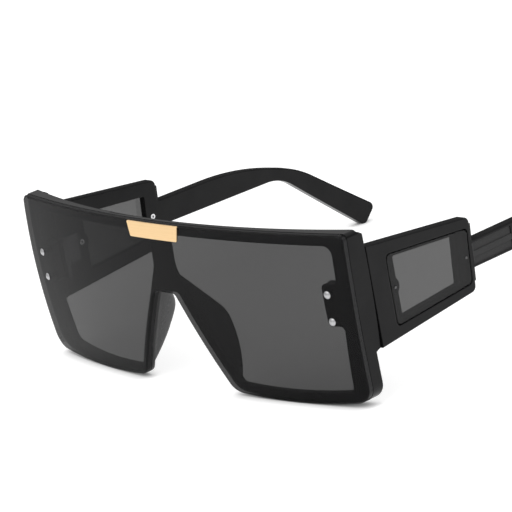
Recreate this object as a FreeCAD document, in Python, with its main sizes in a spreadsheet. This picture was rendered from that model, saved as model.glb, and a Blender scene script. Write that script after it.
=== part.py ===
import FreeCAD, Part
import math
import os
import re
import Sketcher

# Oversized shield sunglasses, in millimetres. +Z is up and the front faces -Y.
# +X is the wearer's left. The lens foot and the temple tips stand on Z = 0.

SIZES = {
    # Shield lens: outline in the front view, and the two curves of its shell
    "lens_half_width": 75.0,
    "lens_height": 53.9,
    "lens_thick": 1.8,
    "lens_foot_inset": 1.7,
    "lens_bevel": 0.5,
    "side_bow_radius": 420.0,
    "sill_bow_radius": 225.0,
    "sill_low_x": 44.0,
    "nose_foot_half_width": 20.9,
    "nose_arch_half_width": 4.6,
    "nose_arch_height": 31.7,
    "top_corner_radius": 2.0,
    "outer_corner_radius": 6.0,
    "inner_corner_radius": 5.5,
    "arch_corner_radius": 2.0,
    "wrap_radius": 343.0,
    "drop_radius": 242.0,
    "drop_centre_height": 35.5,
    "front_offset": 74.41,
    # Moulded front frame behind the lens
    "seat_gap": 0.05,
    "lens_seat": 0.1,
    "rim_depth": 1.3,
    "rim_wrap_radius": 259.0,
    "rim_reveal": 0.1,
    "rim_edge_radius": 0.4,
    "frame_corner_radius": 1.6,
    "brow_width": 3.85,
    "sill_width": 3.0,
    "cheek_top_width": 5.8,
    "cheek_foot_width": 6.6,
    "bridge_half_width": 4.6,
    "bridge_shoulder_height": 39.5,
    "bridge_foot_height": 30.0,
    "nose_rim_width": 3.7,
    "eye_corner_radius": 3.0,
    "eye_nose_radius": 1.2,
    "bridge_shoulder_radius": 9.0,
    "tab_inset": 11.3,
    "tab_top_margin": 2.65,
    "tab_foot_margin": 2.1,
    "tab_radius": 1.5,
    "end_foot_height": 17.2,
    "end_depth": 9.0,
    "end_top_run": 5.0,
    "end_top_drop": 1.85,
    "end_foot_run": 4.4,
    "end_foot_drop": 4.0,
    "end_foot_radius": 6.0,
    # Nose pad wings moulded on the nose rims
    "pad_thick": 2.0,
    "pad_height": 18.4,
    "pad_depth": 11.05,
    "pad_belly": 2.1,
    "pad_top_root": 9.5,
    "pad_rise": 7.3,
    "pad_foot_root": 5.8,
    "pad_drop": 17.5,
    "pad_flare_angle": 9.75,
    "pad_edge_radius": 0.9,
    # Plain plate on the brow
    "plate_top_half_width": 11.9,
    "plate_foot_half_width": 10.9,
    "plate_tall": 4.9,
    "plate_thick": 0.4,
    "plate_corner_radius": 0.5,
    # Rivets through lens, tab and hinge leaf
    "rivet_inset": 7.91,
    "rivet_upper_height": 36.05,
    "rivet_lower_height": 27.7,
    "rivet_radius": 0.75,
    "rivet_fit": 0.05,
    "rivet_head_radius": 1.2,
    "rivet_head_tall": 0.55,
    "rivet_tail_radius": 1.1,
    "rivet_tail_tall": 0.5,
    # Hinges
    "hinge_inset": 5.15,
    "hinge_setback": 17.0,
    "hinge_height": 32.1,
    "knuckle_radius": 1.6,
    "knuckle_tall": 2.9,
    "knuckle_gap": 0.12,
    "knuckle_clear": 0.2,
    "joint_gap": 0.2,
    "leaf_thick": 1.2,
    "leaf_seat": 0.64,
    "leaf_inner_reach": 3.3,
    "leaf_margin": 2.0,
    "leaf_temple_length": 6.6,
    "anchor_depth": 1.5,
    "anchor_length": 3.4,
    "anchor_tall": 6.4,
    "screw_radius": 0.7,
    "screw_fit": 0.05,
    "screw_head_radius": 1.25,
    "screw_head_tall": 0.6,
    "screw_slot_width": 0.35,
    "screw_slot_depth": 0.3,
    # Temple: side plate, arm and tip, measured from the hinge axis
    "temple_thick": 3.7,
    "splay_angle": 0.96,
    "side_length": 42.9,
    "side_rake": 1.8,
    "side_front_top": 48.3,
    "side_front_foot": 16.9,
    "side_rear_top": 43.1,
    "side_rear_foot": 20.4,
    "side_corner_radius": 2.0,
    "side_lip_depth": 0.45,
    "side_lip_top": 40.9,
    "side_lip_foot": 23.4,
    "temple_edge_radius": 0.5,
    "arm_root_top": 35.9,
    "arm_root_foot": 27.3,
    "arm_root_radius": 0.8,
    "arm_shoulder_length": 79.0,
    "arm_shoulder_height": 35.6,
    "arm_shoulder_radius": 100.0,
    "neck_lead": 5.46,
    "neck_width": 5.92,
    "neck_top_radius": 40.0,
    "neck_foot_length": 96.0,
    "neck_foot_height": 26.7,
    "neck_foot_radius": 17.0,
    "tip_angle": 40.9,
    "tip_width": 8.2,
    "tip_radius": 2.0,
    "bend_length": 92.0,
    "bend_radius": 267.0,
    "panel_length": 16.5,
    "panel_depth": 0.35,
    "panel_border": 0.8,
    "rib_top": 32.3,
    "rib_foot": 30.5,
    # Side window in the temple
    "window_front": 6.9,
    "window_rear_margin": 1.25,
    "window_front_top": 43.4,
    "window_front_foot": 20.9,
    "window_rear_top": 40.1,
    "window_rear_foot": 23.0,
    "window_radius": 1.6,
    "window_gap": 0.4,
    "window_thick": 1.2,
    "ledge_front": 3.9,
    "ledge_rear": 4.3,
    "ledge_edge": 1.5,
    "hole_radius": 0.6,
    "boss_radius": 2.9,
    "stud_front": 8.8,
    "stud_front_height": 32.6,
    "stud_rear": 39.0,
    "stud_rear_height": 31.4,
    "stud_radius": 0.7,
    "stud_pin_radius": 0.45,
    "stud_fit": 0.05,
    "stud_proud": 0.1,
    "stud_head_radius": 0.9,
    "stud_head_tall": 0.25,
    "stud_bore_radius": 0.38,
    "stud_bore_depth": 1.2,
    # One overrun serves all cuts
    "overrun": 12.0,
}

doc = FreeCAD.newDocument("Sunglasses")
sheet = doc.addObject("Spreadsheet::Sheet", "Sizes")
for row, (name, value) in enumerate(SIZES.items(), start=1):
    sheet.set(f"A{row}", name)
    sheet.set(f"B{row}", str(value))
    sheet.setAlias(f"B{row}", name)
doc.recompute()


def cells(text):
    """Write the sheet's name before each size that the expression uses."""
    return re.sub(r"[a-z_]+", lambda word: "Sizes." + word[0] if word[0] in SIZES else word[0], text)


def measure(text):
    return float(sheet.evalExpression(cells(text)))


def bind(item, prop, text):
    item.setExpression(prop, cells(text))


def new_body(label):
    body = doc.addObject("PartDesign::Body", label)
    body.Label = label
    return body


def stand(body, x, y, angle):
    """Place a body in the plan view and turn it about its upright axis."""
    body.Placement.Rotation = FreeCAD.Rotation(FreeCAD.Vector(0, 0, 1), measure(angle))
    bind(body, "Placement.Base.x", x)
    bind(body, "Placement.Base.y", y)
    bind(body, "Placement.Rotation.Angle", angle)


def origin_part(body, role):
    return next(part for part in body.Origin.OriginFeatures if part.Role == role)


def new_sketch(body, role, offset="0"):
    """Sketch on one of the body's origin planes, moved along the plane's normal."""
    sketch = body.newObject("Sketcher::SketchObject", body.Name + "_outline")
    sketch.AttachmentSupport = [(origin_part(body, role), "")]
    sketch.MapMode = "FlatFace"
    bind(sketch, "AttachmentOffset.Base.z", offset)
    return sketch


def pin(sketch, side, end, place):
    """Tie one end of a sketch line to its two coordinates."""
    for axis, text in zip(("DistanceX", "DistanceY"), place):
        tie = sketch.addConstraint(Sketcher.Constraint(axis, -1, 1, side, end, measure(text)))
        bind(sketch, f"Constraints[{tie}]", text)


def outline(sketch, corners):
    """Closed outline through corners given as u and v, with a bow where the next side is curved.

    A bow is a radius. A positive one bulges to the right of the way round, a negative one to the left.
    """
    first = sketch.GeometryCount
    points = [FreeCAD.Vector(measure(u), measure(v), 0) for u, v, *bow in corners]
    bows = {number: bow.pop() for number, (u, v, *bow) in enumerate(corners) if bow}
    starts = []
    ends = []
    for number, start in enumerate(points):
        end = points[(number + 1) % len(points)]
        if number not in bows:
            sketch.addGeometry(Part.LineSegment(start, end), False)
            starts.append(1)
            ends.append(2)
            continue
        bulges_right = not bows[number].startswith("-")
        radius = measure(bows[number].lstrip("-"))
        chord = end - start
        rise = math.sqrt(radius ** 2 - (chord.Length / 2) ** 2)
        left = FreeCAD.Vector(-chord.y, chord.x, 0).normalize()
        centre = (start + end) * 0.5 + left * (rise if bulges_right else -rise)
        circle = Part.Circle(centre, FreeCAD.Vector(0, 0, 1), radius)
        low, high = (start, end) if bulges_right else (end, start)
        turn_low = math.atan2(low.y - centre.y, low.x - centre.x)
        turn_high = math.atan2(high.y - centre.y, high.x - centre.x)
        if turn_high < turn_low:
            turn_high += 2 * math.pi
        sketch.addGeometry(Part.ArcOfCircle(circle, turn_low, turn_high), False)
        starts.append(1 if bulges_right else 2)
        ends.append(2 if bulges_right else 1)
    for number in range(len(points)):
        after = (number + 1) % len(points)
        sketch.addConstraint(
            Sketcher.Constraint("Coincident", first + number, ends[number], first + after, starts[after]))
    for number, (u, v, *bow) in enumerate(corners):
        pin(sketch, first + number, starts[number], (u, v))
    for number, radius in bows.items():
        text = radius.lstrip("-")
        tie = sketch.addConstraint(Sketcher.Constraint("Radius", first + number, measure(text)))
        bind(sketch, f"Constraints[{tie}]", text)


def ring(sketch, place, radius):
    """Circle of a named radius at a place of the sketch."""
    centre = FreeCAD.Vector(measure(place[0]), measure(place[1]), 0)
    number = sketch.addGeometry(Part.Circle(centre, FreeCAD.Vector(0, 0, 1), measure(radius)), False)
    pin(sketch, number, 3, place)
    tie = sketch.addConstraint(Sketcher.Constraint("Radius", number, measure(radius)))
    bind(sketch, f"Constraints[{tie}]", radius)


def settle(feature):
    """Recompute, and stop at a feature that could not be made."""
    doc.recompute()
    if not feature.isValid():
        raise RuntimeError(f"{feature.Label} could not be made")
    return feature


def pad(body, sketch, length, backwards=False):
    feature = body.newObject("PartDesign::Pad", body.Name + "_pad")
    feature.Profile = sketch
    bind(feature, "Length", length)
    feature.Reversed = backwards
    return settle(feature)


def pocket(body, sketch, length=None, backwards=False):
    """Cut a sketch to a depth, or right through both ways where no depth is given."""
    before = body.Shape.Volume
    feature = body.newObject("PartDesign::Pocket", body.Name + "_cut")
    feature.Profile = sketch
    feature.Reversed = backwards
    if length is None:
        feature.Type = "ThroughAll"
        feature.SideType = "Symmetric"
    else:
        bind(feature, "Length", length)
    settle(feature)
    if not body.Shape.Volume < before:
        raise RuntimeError(f"{feature.Label} cuts nothing")
    return feature


def turn(body, sketch, kind, angle=None, axis="V_Axis"):
    """Revolve a sketch about one of its own axes, whole or by an angle to both sides."""
    feature = body.newObject("PartDesign::" + kind, body.Name + "_turn")
    feature.Profile = sketch
    feature.ReferenceAxis = (sketch, [axis])
    if angle is not None:
        feature.Midplane = True
        bind(feature, "Angle", angle)
    return settle(feature)


def eased(body, kind, prop, size, wanted):
    """Fillet or chamfer every edge of the body that the test picks."""
    base = body.Tip
    names = [f"Edge{number}" for number, edge in enumerate(base.Shape.Edges, start=1) if wanted(edge)]
    feature = body.newObject("PartDesign::" + kind, body.Name + "_ease")
    feature.Base = (base, names)
    bind(feature, prop, size)
    return settle(feature)


def rounded(body, radius, wanted):
    return eased(body, "Fillet", "Radius", radius, wanted)


def round_corners(body, radius, places, across):
    """Round the straight edges that run along one axis and stand at the given corners.

    A place is a pair in the two other axes. A width is found again on the other side of X = 0.
    """
    first, second = [axis for axis in ("x", "y", "z") if axis != across]
    corners = [(measure(u), measure(v)) for u, v, *bow in places]
    close = measure("seat_gap")

    def at_corner(edge):
        spots = [(getattr(vertex.Point, first), getattr(vertex.Point, second)) for vertex in edge.Vertexes]
        if len(spots) < 2 or math.dist(*spots) > close:
            return False
        u, v = spots[0]
        return any(math.dist((abs(u) if first == "x" else u, v), corner) < close for corner in corners)

    return rounded(body, radius, at_corner)


def mirrored(source, label):
    """The same piece on the wearer's right side."""
    copy = doc.addObject("Part::Mirroring", label)
    copy.Label = label
    copy.Source = source
    copy.Normal = FreeCAD.Vector(1, 0, 0)
    return copy


def negative(text):
    return f"-({text})"


def other_side(half):
    """The corners mirrored and in reverse order, so that a curved side starts at its other end."""
    corners = []
    before = []
    for u, v, *bow in half:
        corners.insert(0, (negative(u), v, *before))
        before = bow
    return corners


# Shared places. The front is a shell turned about a vertical axis behind the wearer's head.
WRAP_AXIS_Y = "(wrap_radius - front_offset)"
WRAP_SWEEP = "(2 * asin((lens_half_width + overrun / 2) / wrap_radius))"
HINGE_X = "(lens_half_width - hinge_inset)"
HINGE_Y = "(hinge_setback - front_offset)"
RIVET_ANGLE = "asin((lens_half_width - rivet_inset) / wrap_radius)"
LENS_FOOT = "(lens_half_width - lens_foot_inset)"
FRAME_TOP = "(lens_height + rim_reveal)"
FRAME_FRONT = "(lens_thick + lens_seat)"
RIM_BACK = f"({FRAME_FRONT} + rim_depth)"
RIM_AXIS = f"({RIM_BACK} + rim_wrap_radius - wrap_radius)"
RIM_SWEEP = "(2 * asin((lens_half_width + overrun) / rim_wrap_radius))"


def sill(u, inset="0"):
    """Height of the bowed lower edge at a place along it, raised by an inset."""
    return f"(sill_bow_radius - sqrt(pow(sill_bow_radius - {inset}; 2) - pow({u} - sill_low_x; 2)))"


NOSE_FOOT = sill("nose_foot_half_width")
NOSE_SLOPE = f"((nose_foot_half_width - nose_arch_half_width) / (nose_arch_height - {NOSE_FOOT}))"


def nose_edge(v):
    """Half width of the nose gap at a height."""
    return f"(nose_arch_half_width + (nose_arch_height - {v}) * {NOSE_SLOPE})"


def shell_y(depth, v):
    """Place of a shell surface in the mid plane, from the wrap axis, at a depth behind the lens front."""
    drop = f"sqrt(pow(drop_radius - ({depth}); 2) - pow({v} - drop_centre_height; 2))"
    return f"(drop_radius - wrap_radius - {drop})"


def shell(body, front, back, foot, top):
    """Shell of the front between two depths and two heights."""
    sketch = new_sketch(body, "YZ_Plane")
    outline(sketch, [
        (shell_y(front, foot), foot),
        (shell_y(back, foot), foot, f"-(drop_radius - ({back}))"),
        (shell_y(back, top), top),
        (shell_y(front, top), top, f"(drop_radius - ({front}))"),
    ])
    return turn(body, sketch, "Revolution", WRAP_SWEEP)


def keep_inside(body, half):
    """Cut away all of a shell that stands outside an outline in the front view, given as one half."""
    sketch = new_sketch(body, "XZ_Plane")
    wide = "(lens_half_width + overrun)"
    high = "(lens_height + overrun)"
    outline(sketch, [(negative(wide), "-overrun"), (wide, "-overrun"), (wide, high), (negative(wide), high)])
    outline(sketch, half + other_side(half))
    pocket(body, sketch)


def trim_front(body, reveal, top_radius):
    """Give a shell the front's outline, widened by a reveal at top and sides, and round its corners."""
    foot = f"({LENS_FOOT} + {reveal})"
    corners = {
        top_radius: (f"(lens_half_width + {reveal})", f"(lens_height + {reveal})", "-side_bow_radius"),
        "outer_corner_radius": (foot, sill(foot), "-sill_bow_radius"),
        "inner_corner_radius": ("nose_foot_half_width", NOSE_FOOT),
        "arch_corner_radius": ("nose_arch_half_width", "nose_arch_height"),
    }
    keep_inside(body, list(corners.values()))
    for radius, place in corners.items():
        round_corners(body, radius, [place], "y")


def rivet_holes(body):
    """Holes for the four rivets, square to the shell."""
    for side in (RIVET_ANGLE, negative(RIVET_ANGLE)):
        sketch = new_sketch(body, "XZ_Plane")
        bind(sketch, "AttachmentOffset.Rotation.Pitch", side)
        for height in ("rivet_upper_height", "rivet_lower_height"):
            ring(sketch, ("0", height), "rivet_radius + rivet_fit")
        pocket(body, sketch, "wrap_radius + overrun", backwards=True)


# Shield lens: one toric sheet that covers the whole front, with a nose gap
lens = new_body("shield_lens")
stand(lens, "0", WRAP_AXIS_Y, "0")
shell(lens, "0", "lens_thick", "-overrun", "lens_height")
trim_front(lens, "0", "top_corner_radius")
lens_sheets = sorted(lens.Tip.Shape.Faces, key=lambda face: face.Area)[-2:]
lens_front = min(lens_sheets, key=lambda face: face.CenterOfMass.y)
eased(lens, "Chamfer", "Size", "lens_bevel", lambda edge: any(edge.isSame(side) for side in lens_front.Edges))
rivet_holes(lens)

# Front frame: a rim on the lens shell, with end pieces, rivet tabs and nose pad wings
frame = new_body("frame_front")
stand(frame, "0", WRAP_AXIS_Y, "0")
shell(frame, FRAME_FRONT, f"({RIM_BACK} + overrun)", "-overrun", FRAME_TOP)

# The rim's back wraps more tightly than its front, so that the rim grows thicker towards the ends
BACK_FOOT = "(-2 * overrun)"
BACK_TOP = f"({FRAME_TOP} + overrun)"


def rim_y(v):
    """Place of the rim's back in the mid plane, from the axis that it is turned about."""
    return f"({shell_y(RIM_BACK, v)} - {RIM_AXIS})"


back_sketch = new_sketch(frame, "YZ_Plane")
bind(back_sketch, "AttachmentOffset.Base.x", RIM_AXIS)
outline(back_sketch, [
    (rim_y(BACK_FOOT), BACK_FOOT),
    (f"{rim_y(BACK_FOOT)} + 2 * overrun", BACK_FOOT),
    (f"{rim_y(BACK_TOP)} + 2 * overrun", BACK_TOP),
    (rim_y(BACK_TOP), BACK_TOP, f"(drop_radius - {RIM_BACK})"),
])
turn(frame, back_sketch, "Groove", RIM_SWEEP)

END_INNER = f"({HINGE_X} + knuckle_radius + knuckle_clear)"
END_OUTER = "(lens_half_width + overrun)"
END_REAR = f"({HINGE_Y} - joint_gap / 2 - {WRAP_AXIS_Y})"
END_FRONT = f"({END_REAR} - end_depth)"
END_FOOT = "(end_foot_height - end_foot_drop)"
END_TOP_BOW = "((pow(end_top_run; 2) + pow(end_top_drop; 2)) / (2 * end_top_drop))"
for offset, backwards in ((END_INNER, False), (negative(END_INNER), True)):
    end_sketch = new_sketch(frame, "YZ_Plane", offset)
    outline(end_sketch, [
        (END_FRONT, END_FOOT),
        (END_FRONT, FRAME_TOP),
        (f"({END_REAR} - end_top_run)", FRAME_TOP, negative(END_TOP_BOW)),
        (END_REAR, f"({FRAME_TOP} - end_top_drop)"),
        (END_REAR, "end_foot_height", "end_foot_radius"),
        (f"({END_REAR} - end_foot_run)", END_FOOT),
    ])
    pad(frame, end_sketch, f"{END_OUTER} - {END_INNER}", backwards)
trim_front(frame, "rim_reveal", "frame_corner_radius")

# The two eye openings, each with the rivet tab left standing on its outer side
EYE_TOP = f"({FRAME_TOP} - brow_width)"
EYE_OUTER = "(lens_half_width - cheek_top_width)"
EYE_FOOT = f"({LENS_FOOT} - cheek_foot_width)"
EYE_NOSE = f"({nose_edge('sill_width')} + nose_rim_width)"
EYE_BRIDGE = f"({nose_edge('bridge_foot_height')} + nose_rim_width)"
TAB_INNER = "(lens_half_width - tab_inset)"
brow_corners = [("bridge_half_width", EYE_TOP), (EYE_OUTER, EYE_TOP)]
TAB_TOP = "(rivet_upper_height + tab_top_margin)"
TAB_FOOT = "(rivet_lower_height - tab_foot_margin)"
tab_corners = [(EYE_OUTER, TAB_TOP), (TAB_INNER, TAB_TOP), (TAB_INNER, TAB_FOOT), (EYE_OUTER, TAB_FOOT)]
cheek_corners = [(EYE_FOOT, sill(EYE_FOOT, "sill_width"), "-(sill_bow_radius - sill_width)")]
nose_corners = [(EYE_NOSE, sill(EYE_NOSE, "sill_width"))]
bridge_corners = [(EYE_BRIDGE, "bridge_foot_height"), ("bridge_half_width", "bridge_shoulder_height")]
eye_corners = brow_corners + tab_corners + cheek_corners + nose_corners + bridge_corners
eye_sketch = new_sketch(frame, "XZ_Plane")
outline(eye_sketch, eye_corners)
outline(eye_sketch, other_side(eye_corners))
pocket(frame, eye_sketch)
for radius, places in (("eye_corner_radius", brow_corners + cheek_corners), ("tab_radius", tab_corners),
                       ("eye_nose_radius", nose_corners), ("bridge_shoulder_radius", bridge_corners)):
    round_corners(frame, radius, places, "y")
rim_sheets = sorted(frame.Tip.Shape.Faces, key=lambda face: face.Area)[-2:]
rim_back = max(rim_sheets, key=lambda face: face.CenterOfMass.y)
eye_wires = [wire for wire in rim_back.Wires if not wire.isSame(rim_back.OuterWire)]
eye_edges = [edge for wire in eye_wires for edge in wire.Edges]
rounded(frame, "rim_edge_radius", lambda edge: any(edge.isSame(side) for side in eye_edges))

# Nose pad wings: lobes that lean with the nose rims and flare out towards the back
pad_sketch = new_sketch(frame, "YZ_Plane", nose_edge("pad_height"))
bind(pad_sketch, "AttachmentOffset.Base.x", f"{FRAME_FRONT} - wrap_radius")
bind(pad_sketch, "AttachmentOffset.Base.y", "pad_height")
bind(pad_sketch, "AttachmentOffset.Rotation.Roll", f"-atan({NOSE_SLOPE})")
bind(pad_sketch, "AttachmentOffset.Rotation.Pitch", "-pad_flare_angle")


def arc_radius(run, reach):
    """Radius of an arc that leaves the wing's widest place upright and gains a run and a reach."""
    return f"((pow({run}; 2) + pow({reach}; 2)) / (2 * {reach}))"


PAD_ABOVE = "(pad_rise - pad_belly)"
PAD_TOP_REACH = "(pad_depth - pad_top_root)"
PAD_UPPER_BOW = arc_radius(PAD_ABOVE, PAD_TOP_REACH)
PAD_LOWER_BOW = arc_radius("(pad_drop + pad_belly)", "(pad_depth - pad_foot_root)")
PAD_ROOT_TOP = f"(pad_rise + pad_top_root * ({PAD_UPPER_BOW} - {PAD_TOP_REACH}) / {PAD_ABOVE})"
outline(pad_sketch, [
    ("0", "-pad_drop"),
    ("pad_foot_root", "-pad_drop", PAD_LOWER_BOW),
    ("pad_depth", "pad_belly", PAD_UPPER_BOW),
    ("pad_top_root", "pad_rise"),
    ("0", PAD_ROOT_TOP),
])
wing = pad(frame, pad_sketch, "pad_thick")
wings = frame.newObject("PartDesign::Mirrored", "frame_front_wings")
wings.Originals = [wing]
wings.MirrorPlane = (origin_part(frame, "YZ_Plane"), [""])
frame.Tip = wings
settle(wings)
rounded(frame, "pad_edge_radius", lambda edge: edge.Curve.TypeId == "Part::GeomCircle" and any(
    abs(edge.Curve.Radius - measure(bow)) < measure("seat_gap") for bow in (PAD_UPPER_BOW, PAD_LOWER_BOW)))

# Nothing of the frame stands in front of its seat against the lens
seat_sketch = new_sketch(frame, "YZ_Plane")
SEAT_TOP = "(lens_height + overrun)"
SEAT_FRONT = "(-wrap_radius - overrun)"
outline(seat_sketch, [
    (shell_y(FRAME_FRONT, "-overrun"), "-overrun", f"-(drop_radius - {FRAME_FRONT})"),
    (shell_y(FRAME_FRONT, SEAT_TOP), SEAT_TOP),
    (SEAT_FRONT, SEAT_TOP),
    (SEAT_FRONT, "-overrun"),
])
turn(frame, seat_sketch, "Groove", WRAP_SWEEP)
rivet_holes(frame)

# Plain plate on the brow, bent to the lens
plate = new_body("bridge_plate")
stand(plate, "0", WRAP_AXIS_Y, "0")
shell(plate, "-plate_thick - seat_gap", "-seat_gap", "lens_height - plate_tall", "lens_height")
plate_corners = [("plate_top_half_width", "lens_height"),
                 ("plate_foot_half_width", "(lens_height - plate_tall)")]
keep_inside(plate, plate_corners)
round_corners(plate, "plate_corner_radius", plate_corners, "y")

# Reach of the rim's back from the wrap axis, along the line of the rivets
RIM_REACH = (f"(sqrt(pow(rim_wrap_radius; 2) - pow({RIM_AXIS} * sin({RIVET_ANGLE}); 2))"
             f" - {RIM_AXIS} * cos({RIVET_ANGLE}))")


def rivet(label, height):
    """Domed rivet, headed over behind the hinge leaf."""
    body = new_body(label)
    stand(body, "0", WRAP_AXIS_Y, RIVET_ANGLE)
    sketch = new_sketch(body, "XY_Plane", height)
    front = f"({shell_y('0', height)} - seat_gap)"
    back = f"({front} + 2 * seat_gap + wrap_radius - {RIM_REACH} + leaf_seat + leaf_thick)"
    dome = "((pow(rivet_head_radius; 2) + pow(rivet_head_tall; 2)) / (2 * rivet_head_tall))"
    outline(sketch, [
        ("0", f"{front} - rivet_head_tall", dome),
        ("rivet_head_radius", front),
        ("rivet_radius", front),
        ("rivet_radius", back),
        ("rivet_tail_radius", back),
        ("rivet_tail_radius", f"{back} + rivet_tail_tall"),
        ("0", f"{back} + rivet_tail_tall"),
    ])
    turn(body, sketch, "Revolution")
    return body


def at_hinge(body, angle):
    """Stand a body on the left hinge axis, turned about it."""
    stand(body, HINGE_X, HINGE_Y, angle)


def block(body, low, high):
    """Upright block between two corners, each given as x, y and z."""
    sketch = new_sketch(body, "XY_Plane", low[2])
    outline(sketch, [(low[0], low[1]), (high[0], low[1]), (high[0], high[1]), (low[0], high[1])])
    return pad(body, sketch, f"{high[2]} - ({low[2]})")


def barrel(body, foot, tall):
    """Hinge knuckle on the axis of the body."""
    sketch = new_sketch(body, "XY_Plane", foot)
    ring(sketch, ("0", "0"), "knuckle_radius")
    return pad(body, sketch, tall)


def hinge_bore(body):
    sketch = new_sketch(body, "XY_Plane")
    ring(sketch, ("0", "0"), "screw_radius + screw_fit")
    pocket(body, sketch, "hinge_height + overrun", backwards=True)


BARREL_TALL = "(3 * knuckle_tall + 2 * knuckle_gap)"
BARREL_FOOT = f"(hinge_height - {BARREL_TALL} / 2)"
BARREL_TOP = f"(hinge_height + {BARREL_TALL} / 2)"
TEMPLE_INNER = "(knuckle_radius + knuckle_clear)"
TEMPLE_OUTER = f"({TEMPLE_INNER} + temple_thick)"

# Front hinge leaf: a plate behind the rivet tab, bent back to two knuckles
leaf_front = new_body("hinge_leaf_front_left")
at_hinge(leaf_front, "0")
LEAF_WRAP = f"({RIM_REACH} - leaf_seat)"
SEAT_X = f"({LEAF_WRAP} * sin({RIVET_ANGLE}) - {HINGE_X})"
SEAT_Y = f"(wrap_radius - hinge_setback - {LEAF_WRAP} * cos({RIVET_ANGLE}))"
BACK_X = f"({SEAT_X} - leaf_thick * sin({RIVET_ANGLE}))"
BACK_Y = f"({SEAT_Y} + leaf_thick * cos({RIVET_ANGLE}))"
EAR_INNER = "(knuckle_radius - leaf_thick)"


def leaf_front_y(u):
    """Seat line of the leaf against the tab, in the plan view."""
    return f"({SEAT_Y} + ({u} - {SEAT_X}) * tan({RIVET_ANGLE}))"


def leaf_back_y(u):
    return f"({BACK_Y} + ({u} - {BACK_X}) * tan({RIVET_ANGLE}))"


LEAF_RUN_X = f"(leaf_inner_reach * cos({RIVET_ANGLE}))"
LEAF_RUN_Y = f"(leaf_inner_reach * sin({RIVET_ANGLE}))"
leaf_sketch = new_sketch(leaf_front, "XY_Plane", "rivet_lower_height - leaf_margin")
outline(leaf_sketch, [
    (f"{SEAT_X} - {LEAF_RUN_X}", f"{SEAT_Y} - {LEAF_RUN_Y}"),
    ("knuckle_radius", leaf_front_y("knuckle_radius")),
    ("knuckle_radius", leaf_back_y("knuckle_radius")),
    (f"{BACK_X} - {LEAF_RUN_X}", f"{BACK_Y} - {LEAF_RUN_Y}"),
])
pad(leaf_front, leaf_sketch, "rivet_upper_height - rivet_lower_height + 2 * leaf_margin")
ear_sketch = new_sketch(leaf_front, "XY_Plane", BARREL_FOOT)
outline(ear_sketch, [
    (EAR_INNER, leaf_front_y(EAR_INNER)),
    ("knuckle_radius", leaf_front_y("knuckle_radius")),
    ("knuckle_radius", "-joint_gap / 2"),
    (EAR_INNER, "-joint_gap / 2"),
])
pad(leaf_front, ear_sketch, BARREL_TALL)
barrel(leaf_front, BARREL_FOOT, BARREL_TALL)
gap_sketch = new_sketch(leaf_front, "XY_Plane", "hinge_height - knuckle_tall / 2 - knuckle_gap")
GAP = "(knuckle_radius + knuckle_clear)"
outline(gap_sketch, [(negative(GAP), negative(GAP)), (GAP, negative(GAP)), (GAP, GAP), (negative(GAP), GAP)])
pocket(leaf_front, gap_sketch, "knuckle_tall + 2 * knuckle_gap", backwards=True)
hinge_bore(leaf_front)
leaf_holes = new_sketch(leaf_front, "XZ_Plane", "hinge_setback - wrap_radius")
bind(leaf_holes, "AttachmentOffset.Base.x", negative(HINGE_X))
bind(leaf_holes, "AttachmentOffset.Rotation.Pitch", RIVET_ANGLE)
for height in ("rivet_upper_height", "rivet_lower_height"):
    ring(leaf_holes, ("0", height), "rivet_radius + rivet_fit")
pocket(leaf_front, leaf_holes, "wrap_radius", backwards=True)

# Temple hinge leaf: one knuckle, a plate on the temple's inner face and an anchor sunk into it
leaf_temple = new_body("hinge_leaf_temple_left")
at_hinge(leaf_temple, "splay_angle")
LEAF_OUTER = f"({TEMPLE_INNER} - seat_gap)"
LEAF_INNER = f"({LEAF_OUTER} - leaf_thick)"
MIDDLE_FOOT = "(hinge_height - knuckle_tall / 2)"
MIDDLE_TOP = "(hinge_height + knuckle_tall / 2)"
ANCHOR_FRONT = "(leaf_temple_length - anchor_length)"
block(leaf_temple, (LEAF_INNER, GAP, BARREL_FOOT), (LEAF_OUTER, "leaf_temple_length", BARREL_TOP))
block(leaf_temple, (LEAF_INNER, "0", MIDDLE_FOOT), (LEAF_OUTER, GAP, MIDDLE_TOP))
barrel(leaf_temple, MIDDLE_FOOT, "knuckle_tall")
block(leaf_temple, (LEAF_OUTER, ANCHOR_FRONT, "(hinge_height - anchor_tall / 2)"),
      (f"({TEMPLE_INNER} + anchor_depth)", "leaf_temple_length", "(hinge_height + anchor_tall / 2)"))
hinge_bore(leaf_temple)

# Hinge screw with a slotted head
screw = new_body("hinge_screw_left")
at_hinge(screw, "0")
screw_sketch = new_sketch(screw, "XZ_Plane")
HEAD_FOOT = f"({BARREL_TOP} + seat_gap)"
HEAD_TOP = f"({HEAD_FOOT} + screw_head_tall)"
outline(screw_sketch, [("0", BARREL_FOOT), ("screw_radius", BARREL_FOOT), ("screw_radius", HEAD_FOOT),
                       ("screw_head_radius", HEAD_FOOT), ("screw_head_radius", HEAD_TOP), ("0", HEAD_TOP)])
turn(screw, screw_sketch, "Revolution")
slot_sketch = new_sketch(screw, "XY_Plane", HEAD_TOP)
SLOT = "(screw_slot_width / 2)"
SLOT_END = "(screw_head_radius + screw_slot_width)"
outline(slot_sketch, [(negative(SLOT), negative(SLOT_END)), (SLOT, negative(SLOT_END)),
                      (SLOT, SLOT_END), (negative(SLOT), SLOT_END)])
pocket(screw, slot_sketch, "screw_slot_depth")

# Temple: side view of plate, arm and dropped tip
TIP_SPREAD = "(sin(tip_angle) + cos(tip_angle))"
TIP_RUN = f"((neck_foot_height - tip_radius + tip_radius * {TIP_SPREAD}) / sin(tip_angle))"


def along_tip(run, rise):
    """Place on the dropped tip, by the way run along it and across it from the neck's lower corner."""
    return (f"(neck_foot_length + {run} * cos(tip_angle) + {rise} * sin(tip_angle))",
            f"(neck_foot_height - {run} * sin(tip_angle) + {rise} * cos(tip_angle))")


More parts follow.
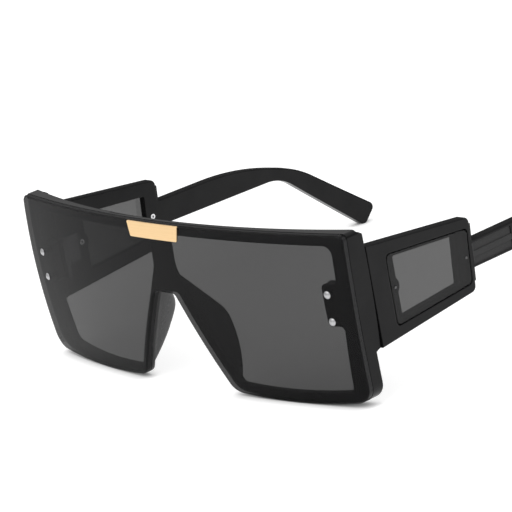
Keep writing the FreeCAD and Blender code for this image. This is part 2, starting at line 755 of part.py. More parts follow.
def side_rear(v):
    """Place of the side plate's raked rear edge at a height."""
    return f"(side_length - side_rake * (side_rear_top - {v}) / (side_rear_top - side_rear_foot))"


rear_top = ("side_length", "side_rear_top")
root_top = (side_rear("arm_root_top"), "arm_root_top")
shoulder = ("arm_shoulder_length", "arm_shoulder_height")
neck_top = along_tip("neck_lead", "neck_width")
tip_top = along_tip(TIP_RUN, "tip_width")
tip_foot = along_tip(TIP_RUN, "0")
neck_foot = ("neck_foot_length", "neck_foot_height")
root_foot = (side_rear("arm_root_foot"), "arm_root_foot")
rear_foot = ("side_length - side_rake", "side_rear_foot")
temple = new_body("temple_left")
at_hinge(temple, "splay_angle")
temple_sketch = new_sketch(temple, "YZ_Plane", TEMPLE_OUTER)
outline(temple_sketch, [
    ("joint_gap / 2", "side_front_foot"),
    ("joint_gap / 2", "side_front_top"),
    rear_top, root_top, shoulder, neck_top, tip_top,
    tip_foot, neck_foot, root_foot, rear_foot,
])
pad(temple, temple_sketch, "temple_thick + overrun", backwards=True)
for radius, places in (("side_corner_radius", [rear_top, rear_foot]),
                       ("arm_root_radius", [root_top, root_foot]),
                       ("arm_shoulder_radius", [shoulder]), ("neck_top_radius", [neck_top]),
                       ("tip_radius", [tip_top, tip_foot]), ("neck_foot_radius", [neck_foot])):
    round_corners(temple, radius, places, "x")

# The tip bends in behind the ear, so the plan view is cut to a band that curves inwards
BEND_END = f"(neck_foot_length + {TIP_RUN} + tip_width)"


def bend_x(radius):
    """Place of a bent face at the far end of the band."""
    return f"({TEMPLE_OUTER} - bend_radius + sqrt(pow({radius}; 2) - pow({BEND_END} - bend_length; 2)))"


BEND_INNER = "(bend_radius - temple_thick)"
FAR_INNER = f"({TEMPLE_INNER} - 2 * overrun)"
FAR_OUTER = f"({TEMPLE_OUTER} + overrun)"
bend_sketch = new_sketch(temple, "XY_Plane")
outline(bend_sketch, [
    (TEMPLE_INNER, "-overrun"),
    (TEMPLE_INNER, "bend_length", BEND_INNER),
    (bend_x(BEND_INNER), BEND_END),
    (FAR_INNER, BEND_END),
    (FAR_INNER, "-overrun"),
])
outline(bend_sketch, [
    (TEMPLE_OUTER, "bend_length", "bend_radius"),
    (bend_x("bend_radius"), BEND_END),
    (FAR_OUTER, BEND_END),
    (FAR_OUTER, "bend_length"),
])
pocket(temple, bend_sketch)

# The long edges are rounded, but for those of the front face, which meets the end piece
rounded(temple, "temple_edge_radius", lambda edge: edge.BoundBox.XLength < measure("seat_gap")
        and edge.BoundBox.YMax > measure("joint_gap"))

# A low lip stands along the plate's rear edge
lip_sketch = new_sketch(temple, "YZ_Plane", f"{TEMPLE_OUTER} - temple_edge_radius / 2")
outline(lip_sketch, [
    (f"{side_rear('side_lip_foot')} - side_lip_depth", "side_lip_foot"),
    (f"{side_rear('side_lip_foot')} + side_lip_depth", "side_lip_foot"),
    (f"{side_rear('side_lip_top')} + side_lip_depth", "side_lip_top"),
    (f"{side_rear('side_lip_top')} - side_lip_depth", "side_lip_top"),
])
pad(temple, lip_sketch, "temple_thick - temple_edge_radius", backwards=True)


def line_at(start, end, u):
    """Height at a place on the line between two corners."""
    (start_u, start_v), (end_u, end_v) = start, end
    return f"({start_v} + ({end_v} - {start_v}) * ({u} - {start_u}) / ({end_u} - {start_u}))"


def window_rear(v):
    return f"({side_rear(v)} - window_rear_margin)"


def window(inset):
    """Outline of the side window, drawn in by an inset."""
    return [
        (f"(window_front + {inset})", f"(window_front_top - {inset})"),
        (f"({window_rear('window_rear_top')} - {inset})", f"(window_rear_top - {inset})"),
        (f"({window_rear('window_rear_foot')} - {inset})", f"(window_rear_foot + {inset})"),
        (f"(window_front + {inset})", f"(window_front_foot + {inset})"),
    ]


# Window in the side plate: a shallow seat for the side lens and a smaller opening with a stud boss
seat = window("0")
seat_front_top, seat_rear_top, seat_rear_foot, seat_front_foot = seat
seat_sketch = new_sketch(temple, "YZ_Plane", TEMPLE_OUTER)
outline(seat_sketch, seat)
pocket(temple, seat_sketch, "window_thick + seat_gap")
round_corners(temple, "window_radius", seat, "x")

HOLE_FRONT = "(window_front + ledge_front)"
HOLE_TOP_REAR = f"({window_rear('window_rear_top')} - ledge_rear)"
HOLE_FOOT_REAR = f"({window_rear('window_rear_foot')} - ledge_rear)"
BOSS_HALF = f"sqrt(pow(boss_radius; 2) - pow({HOLE_FRONT} - stud_front; 2))"


def hole_top(u):
    return (u, f"({line_at(seat_front_top, seat_rear_top, u)} - ledge_edge)")


def hole_foot(u):
    return (u, f"({line_at(seat_front_foot, seat_rear_foot, u)} + ledge_edge)")


hole = [hole_top(HOLE_FRONT), hole_top(HOLE_TOP_REAR), hole_foot(HOLE_FOOT_REAR), hole_foot(HOLE_FRONT)]
hole_sketch = new_sketch(temple, "YZ_Plane", TEMPLE_OUTER)
outline(hole_sketch, hole + [
    (HOLE_FRONT, f"(stud_front_height - {BOSS_HALF})", "boss_radius"),
    (HOLE_FRONT, f"(stud_front_height + {BOSS_HALF})"),
])
pocket(temple, hole_sketch, "temple_thick + overrun")
round_corners(temple, "hole_radius", hole, "x")

# Two recessed panels on the arm's outer face leave a rib between them
PANEL_END = "(side_length + panel_length)"


def panel_start(v):
    return f"({side_rear(v)} + side_lip_depth)"


panel_sketch = new_sketch(temple, "YZ_Plane", TEMPLE_OUTER)
for foot, top in (("rib_top", "(arm_shoulder_height - panel_border)"),
                  ("(arm_root_foot + panel_border)", "rib_foot")):
    outline(panel_sketch, [(panel_start(foot), foot), (PANEL_END, foot),
                           (PANEL_END, top), (panel_start(top), top)])
pocket(temple, panel_sketch, "panel_depth")

# Socket for the hinge leaf's anchor
anchor_sketch = new_sketch(temple, "YZ_Plane", TEMPLE_INNER)
SOCKET_FOOT = "(hinge_height - anchor_tall / 2 - seat_gap)"
SOCKET_TOP = "(hinge_height + anchor_tall / 2 + seat_gap)"
SOCKET_FRONT = f"({ANCHOR_FRONT} - seat_gap)"
SOCKET_REAR = "(leaf_temple_length + seat_gap)"
outline(anchor_sketch, [(SOCKET_FRONT, SOCKET_FOOT), (SOCKET_REAR, SOCKET_FOOT),
                        (SOCKET_REAR, SOCKET_TOP), (SOCKET_FRONT, SOCKET_TOP)])
pocket(temple, anchor_sketch, "anchor_depth + seat_gap", backwards=True)

STUDS = {"front": ("stud_front", "stud_front_height"), "rear": ("stud_rear", "stud_rear_height")}


def stud_holes(body, radius):
    sketch = new_sketch(body, "YZ_Plane", TEMPLE_OUTER)
    for place in STUDS.values():
        ring(sketch, place, f"{radius} + stud_fit")
    pocket(body, sketch, "temple_thick + overrun")


stud_holes(temple, "stud_radius")

# Side lens: a flat pane, flush in its seat
side_lens = new_body("side_lens_left")
at_hinge(side_lens, "splay_angle")
pane = window("window_gap")
pane_sketch = new_sketch(side_lens, "YZ_Plane", TEMPLE_OUTER)
outline(pane_sketch, pane)
pad(side_lens, pane_sketch, "window_thick", backwards=True)
round_corners(side_lens, "window_radius", pane, "x")
stud_holes(side_lens, "stud_pin_radius")


def stud(label, place):
    """Stud pressed through temple and side lens, with a tubular head inside and a slim pin outside."""
    along, height = place
    body = new_body(label)
    at_hinge(body, "splay_angle")
    sketch = new_sketch(body, "XY_Plane", height)
    bind(sketch, "AttachmentOffset.Base.y", along)
    inner = f"({TEMPLE_INNER} - stud_head_tall)"
    ledge = f"({TEMPLE_OUTER} - window_thick - seat_gap)"
    outer = f"({TEMPLE_OUTER} + stud_proud)"
    bore = f"({inner} + stud_bore_depth)"
    outline(sketch, [
        (inner, "stud_bore_radius"),
        (bore, "stud_bore_radius"),
        (bore, "0"),
        (outer, "0"),
        (outer, "stud_pin_radius"),
        (ledge, "stud_pin_radius"),
        (ledge, "stud_radius"),
        (TEMPLE_INNER, "stud_radius"),
        (TEMPLE_INNER, "stud_head_radius"),
        (inner, "stud_head_radius"),
    ])
    turn(body, sketch, "Revolution", axis="H_Axis")
    return body


left_pieces = {
    "rivet_{}_upper": rivet("rivet_left_upper", "rivet_upper_height"),
    "rivet_{}_lower": rivet("rivet_left_lower", "rivet_lower_height"),
    "hinge_leaf_front_{}": leaf_front,
    "hinge_leaf_temple_{}": leaf_temple,
    "hinge_screw_{}": screw,
    "temple_{}": temple,
    "side_lens_{}": side_lens,
}
for end, place in STUDS.items():
    name = f"side_stud_{end}_" + "{}"
    left_pieces[name] = stud(name.format("left"), place)

nodes = [lens, frame, plate] + list(left_pieces.values())
nodes += [mirrored(piece, name.format("right")) for name, piece in left_pieces.items()]
doc.recompute()

for item in doc.Objects:
    if "Invalid" in item.State or "Error" in item.State:
        raise RuntimeError(f"{item.Label} could not be made")
for node in nodes:
    if node.Shape.isNull() or not node.Shape.isValid() or len(node.Shape.Solids) != 1:
        raise RuntimeError(f"{node.Label} is not one whole solid")

os.makedirs("parts", exist_ok=True)
for node in nodes:
    node.Shape.exportStep(f"parts/{node.Label}.step")
    box = node.Shape.BoundBox
    extent = f"{box.XLength:.1f} x {box.YLength:.1f} x {box.ZLength:.1f}"
    print(f"{node.Label}: {node.Shape.Volume:.1f} mm3, {extent}")
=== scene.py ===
import math

import bmesh
import bpy
from mathutils import Matrix, Vector


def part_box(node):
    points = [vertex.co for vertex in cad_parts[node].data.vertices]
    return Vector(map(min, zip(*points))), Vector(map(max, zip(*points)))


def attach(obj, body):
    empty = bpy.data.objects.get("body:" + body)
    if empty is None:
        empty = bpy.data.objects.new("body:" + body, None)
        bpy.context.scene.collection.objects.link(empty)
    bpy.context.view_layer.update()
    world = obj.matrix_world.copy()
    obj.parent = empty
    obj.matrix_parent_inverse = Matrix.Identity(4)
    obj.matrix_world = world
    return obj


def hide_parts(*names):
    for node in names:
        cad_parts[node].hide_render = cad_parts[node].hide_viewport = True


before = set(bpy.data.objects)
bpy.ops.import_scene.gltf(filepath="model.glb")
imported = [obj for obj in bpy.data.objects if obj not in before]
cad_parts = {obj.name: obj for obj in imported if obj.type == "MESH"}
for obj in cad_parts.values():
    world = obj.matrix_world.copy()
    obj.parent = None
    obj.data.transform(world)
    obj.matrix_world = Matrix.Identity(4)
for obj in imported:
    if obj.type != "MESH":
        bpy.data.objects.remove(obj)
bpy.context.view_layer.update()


# Front frame: one black plastic moulding, tumbled to a soft polish with a faint mottle.
# Its eye openings, rivet tabs and end pieces carry the lens, the hinges and the bridge plate.
# Its rounded nose pads turn matt to the rear, where they are also painted lighter, as if lit from
# behind.
PLASTIC_GLOSS = 0.16
PLASTIC_DARK, PLASTIC_LIGHT = (0.0062, 0.0062, 0.0068), (0.0105, 0.0104, 0.0108)
PLASTIC_ROUGHNESS = (0.14, 0.22)
EDGE_RADIUS, EDGE_SAMPLES = 0.0003, 6
PAD_FRONT, PAD_REAR, PAD_REACH = -0.0705, -0.061, 0.025
PAD_RADIUS = 0.0022
# Colours of the painted light on the rear of the nose pads.
PAD_LIT_DARK, PAD_LIT_LIGHT = (0.085, 0.085, 0.086), (0.11, 0.11, 0.111)
PAD_ROUGHER = 0.2
# Each pattern is given as cells per metre and levels of detail.
MOTTLE, POLISH, PEEL, GRAIN = (140, 4), (420, 5), (1500, 2), (2500, 3)
PEEL_STRENGTH, PEEL_DEPTH = 0.12, 0.00004
# Nearly all of a cloudy pattern lies between these two values.
CLOUD_LOW, CLOUD_HIGH = 0.3, 0.7
CLOUD_BLEND = 0.55


def new_finish(name, **values):
    """New material, with the values that are the same all over set on the shader."""
    material = bpy.data.materials.new(name)
    material.use_nodes = True
    shader = material.node_tree.nodes["Principled BSDF"]
    for socket, value in values.items():
        shader.inputs[socket.replace("_", " ")].default_value = value
    return material, material.node_tree, shader


def connect(tree, shader, **varying):
    """Links what varies over a piece to the shader's sockets."""
    for socket, value in varying.items():
        tree.links.new(value, shader.inputs[socket.replace("_", " ")])


def add_node(tree, kind, **inputs):
    """New node of a kind, with values on its sockets or links to them."""
    node = tree.nodes.new("ShaderNode" + kind)
    for socket, value in inputs.items():
        place = node.inputs[socket.replace("_", " ")]
        if isinstance(value, bpy.types.NodeSocket):
            tree.links.new(value, place)
        else:
            place.default_value = value
    return node


def speckle(tree, cells, detail, stretch=(1, 1, 1)):
    """Cloudy pattern on the piece, drawn out along an axis where asked."""
    place = add_node(tree, "TexCoord").outputs["Object"]
    drawn = add_node(tree, "Mapping", Vector=place, Scale=stretch).outputs["Vector"]
    cloud = add_node(tree, "TexNoise", Vector=drawn, Scale=cells, Detail=detail, Roughness=CLOUD_BLEND)
    return cloud.outputs["Fac"]


def between(tree, value, low, high):
    """A pattern spread between two numbers."""
    spread = add_node(tree, "MapRange", Value=value, From_Min=CLOUD_LOW, From_Max=CLOUD_HIGH,
                      To_Min=low, To_Max=high)
    return spread.outputs["Result"]


def shades(tree, value, dark, light):
    """A pattern turned into shades between two colours."""
    ramp = add_node(tree, "ValToRGB", Fac=value)
    lower, upper = ramp.color_ramp.elements
    lower.position, lower.color = CLOUD_LOW, (*dark, 1)
    upper.position, upper.color = CLOUD_HIGH, (*light, 1)
    return ramp.outputs["Color"]


def soft_edges(tree, radius):
    """Normals of the surface as if its sharp edges were eased."""
    eased = add_node(tree, "Bevel", Radius=radius)
    eased.samples = EDGE_SAMPLES
    return eased.outputs["Normal"]


def relief(tree, height, strength, depth, normal):
    """Fine relief on the surface."""
    bump = add_node(tree, "Bump", Height=height, Strength=strength, Distance=depth, Normal=normal)
    return bump.outputs["Normal"]


def either(tree, share, first, second, kind="RGBA"):
    """The first of two values where the share is zero, and the second where it is one."""
    mix = tree.nodes.new("ShaderNodeMix")
    mix.data_type = kind
    places = [socket for socket in mix.inputs if socket.enabled]
    for value, place in zip((share, first, second), places):
        tree.links.new(value, place)
    return next(socket for socket in mix.outputs if socket.enabled)


def sum_up(tree, operation, value, other=0.0):
    """A number taken through one step of arithmetic with another."""
    step = add_node(tree, "Math")
    step.operation = operation
    tree.links.new(value, step.inputs[0])
    if isinstance(other, bpy.types.NodeSocket):
        tree.links.new(other, step.inputs[1])
    else:
        step.inputs[1].default_value = other
    return step.outputs[0]


def place_on(tree):
    """Where a point of the piece lies, as three numbers in metres."""
    return add_node(tree, "SeparateXYZ", Vector=add_node(tree, "TexCoord").outputs["Object"]).outputs


def black_plastic(name):
    """New moulded finish, with the mottle and polish that its section links on."""
    finish, tree, shader = new_finish(name, Specular_IOR_Level=PLASTIC_GLOSS)
    mottle = shades(tree, speckle(tree, *MOTTLE), PLASTIC_DARK, PLASTIC_LIGHT)
    polish = between(tree, speckle(tree, *POLISH), *PLASTIC_ROUGHNESS)
    return finish, tree, shader, mottle, polish


def dress(finish, *nodes):
    """Gives a finish to solids of the frame."""
    for node in nodes:
        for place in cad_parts[node].material_slots:
            place.material = finish


moulding, tree, shader, mottle, polish = black_plastic("black_moulding")
place = place_on(tree)
middle = sum_up(tree, "LESS_THAN", sum_up(tree, "ABSOLUTE", place["X"]), PAD_REACH)
pads = sum_up(tree, "MULTIPLY", middle, sum_up(tree, "GREATER_THAN", place["Y"], PAD_FRONT))
depth = add_node(tree, "MapRange", Value=place["Y"], From_Min=PAD_FRONT, From_Max=PAD_REAR)
matt = sum_up(tree, "MULTIPLY", pads, depth.outputs["Result"])
# Painted light: the nose pads are painted greyer towards the rear, as if lit from behind; the added
# roughness there is real.
pad_painted_light = shades(tree, speckle(tree, *GRAIN), PAD_LIT_DARK, PAD_LIT_LIGHT)
rounding = either(tree, pads, soft_edges(tree, EDGE_RADIUS), soft_edges(tree, PAD_RADIUS), "VECTOR")
connect(tree, shader,
        Base_Color=either(tree, matt, mottle, pad_painted_light),
        Roughness=sum_up(tree, "ADD", polish, sum_up(tree, "MULTIPLY", matt, PAD_ROUGHER)),
        Normal=relief(tree, speckle(tree, *PEEL), PEEL_STRENGTH, PEEL_DEPTH, rounding))
dress(moulding, "frame_front")


# Shield lens: one sheet of tinted polycarbonate over the whole front, formed to a toric curve.
# Its faces are polished, with faint wiping marks, and its colour is painted lighter towards the top, a
# painted reflection of the bright surround above.
# Its edge is cut and bevelled, with painted shade on the bevels and on the edge at the nose and top;
# the edge faces at the two outer ends are ground to a satin finish and painted lighter, as lit.
WELD = 0.000001
FACE_TURN, CUT_TURN = 0.92, 0.4
END_START = 0.06
SHARP_ANGLE = math.radians(20)
POLISHED_FACE, LIT_END, SHADED_EDGE = 0, 1, 2
LENS_ALPHA, LENS_GLOSS = 0.727, 0.09
WIPING, WIPING_STRETCH = (45, 4), (1.0, 1.0, 0.35)
DEEP_DARK, DEEP_LIGHT = (0.0028, 0.0028, 0.0032), (0.0044, 0.0044, 0.0048)
# Colours of the painted reflection that lightens the lens towards its top.
TOP_SHEEN_DARK, TOP_SHEEN_LIGHT = (0.008, 0.008, 0.0085), (0.0105, 0.0105, 0.011)
LENS_ROUGHNESS = (0.02, 0.06)
END_ALPHA, END_GLOSS = 0.92, 0.2
GRINDING = (5000, 3)
LIT_END_DARK, LIT_END_LIGHT = (0.019, 0.019, 0.02), (0.028, 0.028, 0.029)
END_ROUGHNESS = (0.22, 0.32)
CUT_ALPHA, CUT_GLOSS = 0.8, 0.1
SAWING = (4000, 4)
SHADED_EDGE_DARK, SHADED_EDGE_LIGHT = (0.0085, 0.0085, 0.009), (0.014, 0.014, 0.0145)
CUT_ROUGHNESS = (0.3, 0.45)

lens_shape = bmesh.new()
lens_shape.from_mesh(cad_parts["shield_lens"].data)
bmesh.ops.remove_doubles(lens_shape, verts=lens_shape.verts, dist=WELD)
# Edge faces at the two outer ends take the painted light; the bevels and the edge at the nose and top
# take the painted shade.
for face in lens_shape.faces:
    sideways, frontways, upright = (abs(share) for share in face.normal)
    at_end = abs(face.calc_center_median().x) > END_START and sideways > upright
    if frontways > FACE_TURN:
        face.material_index = POLISHED_FACE
    elif at_end and frontways < CUT_TURN:
        face.material_index = LIT_END
    else:
        face.material_index = SHADED_EDGE
    face.smooth = True
for edge in lens_shape.edges:
    edge.smooth = edge.calc_face_angle(0) < SHARP_ANGLE
lens_mesh = bpy.data.meshes.new("tinted_shield")
lens_shape.to_mesh(lens_mesh)
lens_shape.free()
shield = bpy.data.objects.new("tinted_shield", lens_mesh)
bpy.context.scene.collection.objects.link(shield)
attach(shield, "front")
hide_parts("shield_lens")

tint, tree, shader = new_finish("lens_tint", Alpha=LENS_ALPHA, Specular_IOR_Level=LENS_GLOSS)
wiping = speckle(tree, *WIPING, WIPING_STRETCH)
deep = shades(tree, wiping, DEEP_DARK, DEEP_LIGHT)
# Painted reflection: the tint is blended from its own colour at the foot to a lighter painted sheen at
# the top.
painted_top_sheen = shades(tree, wiping, TOP_SHEEN_DARK, TOP_SHEEN_LIGHT)
lens_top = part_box("shield_lens")[1].z
sheen_rise = add_node(tree, "MapRange", Value=place_on(tree)["Z"], From_Max=lens_top).outputs["Result"]
connect(tree, shader,
        Base_Color=either(tree, sheen_rise, deep, painted_top_sheen),
        Roughness=between(tree, wiping, *LENS_ROUGHNESS))
# Painted light on the outer end faces of the edge, over a real satin roughness.
lit_end_finish, tree, shader = new_finish("lens_end_painted_light", Alpha=END_ALPHA, Specular_IOR_Level=END_GLOSS)
grinding = speckle(tree, *GRINDING)
connect(tree, shader,
        Base_Color=shades(tree, grinding, LIT_END_DARK, LIT_END_LIGHT),
        Roughness=between(tree, grinding, *END_ROUGHNESS))
# Painted shade on the bevels and on the edge at the nose and top.
shaded_edge_finish, tree, shader = new_finish("lens_edge_painted_shade", Alpha=CUT_ALPHA, Specular_IOR_Level=CUT_GLOSS)
sawing = speckle(tree, *SAWING)
connect(tree, shader,
        Base_Color=shades(tree, sawing, SHADED_EDGE_DARK, SHADED_EDGE_LIGHT),
        Roughness=between(tree, sawing, *CUT_ROUGHNESS))
for finish in (tint, lit_end_finish, shaded_edge_finish):
    lens_mesh.materials.append(finish)


# Bridge plate: a plain strip of metal in a champagne colour, bent to the curve of the lens.
# It is brushed along its length and glued on the brow above the nose.
PLATE_DARK, PLATE_LIGHT = (0.86, 0.60, 0.32), (0.93, 0.67, 0.38)
PLATE_ROUGHNESS = (0.30, 0.42)
BRUSHING, BRUSHING_STRETCH = (30, 5), (1, 1, 90)
BRUSHING_STRENGTH, BRUSHING_DEPTH = 0.1, 0.00002
METAL_EDGE = 0.0001
champagne, tree, shader = new_finish("plate_gold", Metallic=1.0)
brushing = speckle(tree, *BRUSHING, BRUSHING_STRETCH)
eased = soft_edges(tree, METAL_EDGE)
connect(tree, shader,
        Base_Color=shades(tree, brushing, PLATE_DARK, PLATE_LIGHT),
        Roughness=between(tree, brushing, *PLATE_ROUGHNESS),
        Normal=relief(tree, brushing, BRUSHING_STRENGTH, BRUSHING_DEPTH, eased))
dress(champagne, "bridge_plate")


# Rivets: turned stainless steel with satin heads and the finest of handling marks.
# Their domed heads hold lens, frame tab and hinge leaf together.
RIVET_DARK, RIVET_LIGHT = (0.48, 0.48, 0.49), (0.58, 0.58, 0.59)
RIVET_ROUGHNESS = (0.36, 0.5)
HANDLING = (2600, 3)
HANDLING_STRENGTH, HANDLING_DEPTH = 0.06, 0.00002
SIDES = ("left", "right")
steel, tree, shader = new_finish("rivet_steel", Metallic=1.0)
handling = speckle(tree, *HANDLING)
eased = soft_edges(tree, METAL_EDGE)
connect(tree, shader,
        Base_Color=shades(tree, handling, RIVET_DARK, RIVET_LIGHT),
        Roughness=between(tree, handling, *RIVET_ROUGHNESS),
        Normal=relief(tree, handling, HANDLING_STRENGTH, HANDLING_DEPTH, eased))
for side in SIDES:
    dress(steel, f"rivet_{side}_upper", f"rivet_{side}_lower")


# Hinges: stamped leaves with rolled knuckles, on slotted screws, all plated in black nickel.
# The front leaf is riveted behind the lens, and the other is sunk into the temple.
NICKEL_DARK, NICKEL_LIGHT = (0.12, 0.12, 0.125), (0.19, 0.19, 0.195)
NICKEL_ROUGHNESS = (0.26, 0.42)
PLATING = (1800, 4)
PLATING_STRENGTH, PLATING_DEPTH = 0.1, 0.00003
LEAF_EDGE = 0.00015
nickel, tree, shader = new_finish("hinge_black_nickel", Metallic=1.0)
plating = speckle(tree, *PLATING)
eased = soft_edges(tree, LEAF_EDGE)
connect(tree, shader,
        Base_Color=shades(tree, plating, NICKEL_DARK, NICKEL_LIGHT),
        Roughness=between(tree, plating, *NICKEL_ROUGHNESS),
        Normal=relief(tree, plating, PLATING_STRENGTH, PLATING_DEPTH, eased))
for side in SIDES:
    dress(nickel, f"hinge_leaf_front_{side}", f"hinge_leaf_temple_{side}", f"hinge_screw_{side}")


# Temples: moulded side plates of the same plastic, each running into an arm with a dropped, bent tip.
# Two recessed panels behind the plate, and the rib between them, are left matt from the mould.
# The long top edges are matt too, where the tumbling doesn't reach a full polish.
PANELS_FOOT, PANELS_TOP = 0.0281, 0.0348
PANELS_START, PANELS_END = -0.0152, 0.0020
ARM_OUTSIDE = 0.0735
PANEL_DARK, PANEL_LIGHT = (0.042, 0.042, 0.0425), (0.052, 0.052, 0.0525)
TOP_TURN = 0.7
PANEL_ROUGHER, TOP_ROUGHER = 0.3, 0.72


def within(tree, value, low, high):
    """One where a number lies between two others."""
    off_middle = sum_up(tree, "ABSOLUTE", sum_up(tree, "SUBTRACT", value, (low + high) / 2))
    return sum_up(tree, "LESS_THAN", off_middle, (high - low) / 2)


temple_black, tree, shader, mottle, polish = black_plastic("temple_black")
place = place_on(tree)
panels = sum_up(tree, "MULTIPLY", within(tree, place["Z"], PANELS_FOOT, PANELS_TOP),
                within(tree, place["Y"], PANELS_START, PANELS_END))
outside = sum_up(tree, "GREATER_THAN", sum_up(tree, "ABSOLUTE", place["X"]), ARM_OUTSIDE)
matt = sum_up(tree, "MULTIPLY", panels, outside)
facing = add_node(tree, "SeparateXYZ", Vector=add_node(tree, "TexCoord").outputs["Normal"]).outputs
upward = sum_up(tree, "GREATER_THAN", facing["Z"], TOP_TURN)
dulled = sum_up(tree, "MAXIMUM", sum_up(tree, "MULTIPLY", matt, PANEL_ROUGHER),
                sum_up(tree, "MULTIPLY", upward, TOP_ROUGHER))
grain = shades(tree, speckle(tree, *GRAIN), PANEL_DARK, PANEL_LIGHT)
eased = soft_edges(tree, EDGE_RADIUS)
connect(tree, shader,
        Base_Color=either(tree, matt, mottle, grain),
        Roughness=sum_up(tree, "ADD", polish, dulled),
        Normal=relief(tree, speckle(tree, *PEEL), PEEL_STRENGTH, PEEL_DEPTH, eased))
dress(temple_black, "temple_left", "temple_right")


# Side lenses: flat panes cut from the same tinted sheet, with faint wiping marks.
# Each lies flush in a seat on the outside of its temple, and two studs hold it there.
PANE_ALPHA, PANE_GLOSS = 0.70, 0.32
PANE_WIPING, PANE_STRETCH = (60, 4), (1.0, 0.4, 1.0)
PANE_DARK, PANE_LIGHT = (0.0062, 0.0062, 0.0066), (0.0085, 0.0085, 0.009)
PANE_ROUGHNESS = (0.03, 0.07)
pane, tree, shader = new_finish("side_lens_tint", Alpha=PANE_ALPHA, Specular_IOR_Level=PANE_GLOSS)
wiping = speckle(tree, *PANE_WIPING, PANE_STRETCH)
connect(tree, shader,
        Base_Color=shades(tree, wiping, PANE_DARK, PANE_LIGHT),
        Roughness=between(tree, wiping, *PANE_ROUGHNESS))
dress(pane, "side_lens_left", "side_lens_right")


# Side studs: bright steel tubes that hold the side lenses, flared over inside the temples.
# Each ends outside in a small pin that is blackened to match the pane.
PIN_START = 0.0735
TUBE_DARK, TUBE_LIGHT = (0.66, 0.66, 0.67), (0.76, 0.76, 0.77)
PIN_DARK, PIN_LIGHT = (0.07, 0.07, 0.072), (0.12, 0.12, 0.122)
STUD_ROUGHNESS = (0.16, 0.28)
tube, tree, shader = new_finish("stud_steel", Metallic=1.0)
handling = speckle(tree, *HANDLING)
pin = sum_up(tree, "GREATER_THAN", sum_up(tree, "ABSOLUTE", place_on(tree)["X"]), PIN_START)
bright = shades(tree, handling, TUBE_DARK, TUBE_LIGHT)
blackened = shades(tree, handling, PIN_DARK, PIN_LIGHT)
eased = soft_edges(tree, METAL_EDGE)
connect(tree, shader,
        Base_Color=either(tree, pin, bright, blackened),
        Roughness=between(tree, handling, *STUD_ROUGHNESS),
        Normal=relief(tree, handling, HANDLING_STRENGTH, HANDLING_DEPTH, eased))
for side in SIDES:
    dress(tube, f"side_stud_front_{side}", f"side_stud_rear_{side}")


# Floor: a white seamless sheet that keeps the contact shadows of lens and tips.
# It shows white to the camera, and to what mirrors it, and lights the object plainly.
# That white is dimmed where the object stands close over it, a painted contact shadow added to the
# real one.
FLOOR_HALF = 3.0
PAPER_GREY, PAPER_GLOW = 0.66, 0.62
SHADOW_REACH = 0.003
sheet = bpy.data.meshes.new("floor")
grid = bmesh.new()
bmesh.ops.create_grid(grid, x_segments=1, y_segments=1, size=FLOOR_HALF)
grid.to_mesh(sheet)
grid.free()
floor = bpy.data.objects.new("floor", sheet)
bpy.context.scene.collection.objects.link(floor)


def background_rays(tree):
    """One for the rays that show the background: straight, mirrored and through glass."""
    rays = add_node(tree, "LightPath").outputs
    mirrored = sum_up(tree, "MAXIMUM", rays["Is Camera Ray"], rays["Is Glossy Ray"])
    return sum_up(tree, "MAXIMUM", mirrored, rays["Is Transmission Ray"])


white = bpy.data.materials.new("floor_white")
white.use_nodes = True
tree = white.node_tree
tree.nodes.clear()
paper = add_node(tree, "BsdfDiffuse", Color=(PAPER_GREY, PAPER_GREY, PAPER_GREY, 1))
# Painted contact shadow: the glow is dimmed by how closely the object covers the floor.
painted_shadow_opening = add_node(tree, "AmbientOcclusion", Distance=SHADOW_REACH).outputs["AO"]
lift = sum_up(tree, "MULTIPLY", background_rays(tree), PAPER_GLOW)
glow = add_node(tree, "Emission", Strength=sum_up(tree, "MULTIPLY", lift, painted_shadow_opening))
both = add_node(tree, "AddShader")
tree.links.new(paper.outputs["BSDF"], both.inputs[0])
tree.links.new(glow.outputs["Emission"], both.inputs[1])
add_node(tree, "OutputMaterial", Surface=both.outputs["Shader"])
sheet.materials.append(white)


# Studio: an even white surround, as of a light tent, with two soft lamps hung above the object.
# In what mirrors it, the surround darkens to the horizon, so that black plastic stays black.
SURROUND_LEVEL, SURROUND_WHITE = 0.75, 1.0
WALL_DARK, WALL_BRIGHT, WALL_RISE = 0.04, 1.0, 0.62
KEY_PLACE, KEY_SIZE, KEY_WATTS = (0.1, -0.6, 0.95), 0.7, 3.0
FILL_PLACE, FILL_SIZE, FILL_WATTS = (0.9, 0.2, 0.8), 0.6, 1.0
surround = bpy.data.worlds.new("studio")
bpy.context.scene.world = surround
surround.use_nodes = True
tree = surround.node_tree
tree.nodes.clear()
direction = add_node(tree, "TexCoord").outputs["Generated"]
height = add_node(tree, "SeparateXYZ", Vector=direction).outputs["Z"]
wall = add_node(tree, "MapRange", Value=height, From_Min=0.0, From_Max=WALL_RISE,
                To_Min=WALL_DARK, To_Max=WALL_BRIGHT)
wall.interpolation_type = "SMOOTHSTEP"
level = add_node(tree, "MapRange", Value=background_rays(tree),
                 To_Min=SURROUND_LEVEL, To_Max=SURROUND_WHITE)
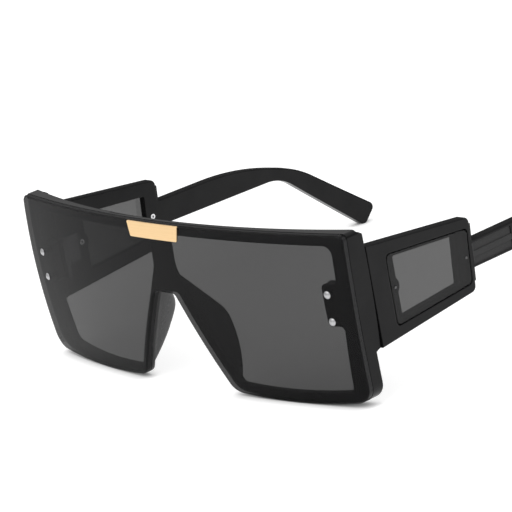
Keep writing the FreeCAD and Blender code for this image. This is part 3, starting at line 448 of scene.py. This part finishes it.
mirrored = add_node(tree, "LightPath").outputs["Is Glossy Ray"]
strength = add_node(tree, "Mix", Factor=mirrored, A=level.outputs["Result"], B=wall.outputs["Result"])
air = add_node(tree, "Background", Color=(1, 1, 1, 1), Strength=strength.outputs["Result"])
add_node(tree, "OutputWorld", Surface=air.outputs["Background"])


def hang_lamp(name, place, size, watts):
    """Square soft lamp that looks at the object."""
    data = bpy.data.lights.new(name, "AREA")
    data.size = size
    data.energy = watts
    lamp = bpy.data.objects.new(name, data)
    lamp.location = place
    lamp.rotation_mode = "QUATERNION"
    lamp.rotation_quaternion = (-Vector(place)).to_track_quat("-Z", "Y")
    bpy.context.scene.collection.objects.link(lamp)


hang_lamp("key_lamp", KEY_PLACE, KEY_SIZE, KEY_WATTS)
hang_lamp("fill_lamp", FILL_PLACE, FILL_SIZE, FILL_WATTS)


# Camera: stands where the photograph was taken from, about a metre away with a long lens.
# It looks down a little and is tilted about its own axis. Its focal length is in pixels.
AZIMUTH, ELEVATION, ROLL = math.radians(50.72), math.radians(16.29), math.radians(-10.87)
TARGET = Vector((-0.00215, -0.03441, 0.0298))
DISTANCE = 0.96219
FOCAL_PIXELS, IMAGE_PIXELS, SENSOR = 3083.35, 512, 36.0
level_right = Vector((math.cos(AZIMUTH), math.sin(AZIMUTH), 0))
level_back = Vector((math.sin(AZIMUTH), -math.cos(AZIMUTH), 0))
back = level_back * math.cos(ELEVATION) + Vector((0, 0, math.sin(ELEVATION)))
level_up = back.cross(level_right)
right = level_right * math.cos(ROLL) + level_up * math.sin(ROLL)
up = level_up * math.cos(ROLL) - level_right * math.sin(ROLL)
view = bpy.data.cameras.new("camera")
view.sensor_width = SENSOR
view.lens = FOCAL_PIXELS * SENSOR / IMAGE_PIXELS
camera = bpy.data.objects.new("camera", view)
turn = Matrix((right, up, back)).transposed().to_4x4()
camera.matrix_world = Matrix.Translation(TARGET + back * DISTANCE) @ turn
bpy.context.scene.collection.objects.link(camera)
bpy.context.scene.camera = camera
bpy.context.scene.view_settings.view_transform = "Standard"
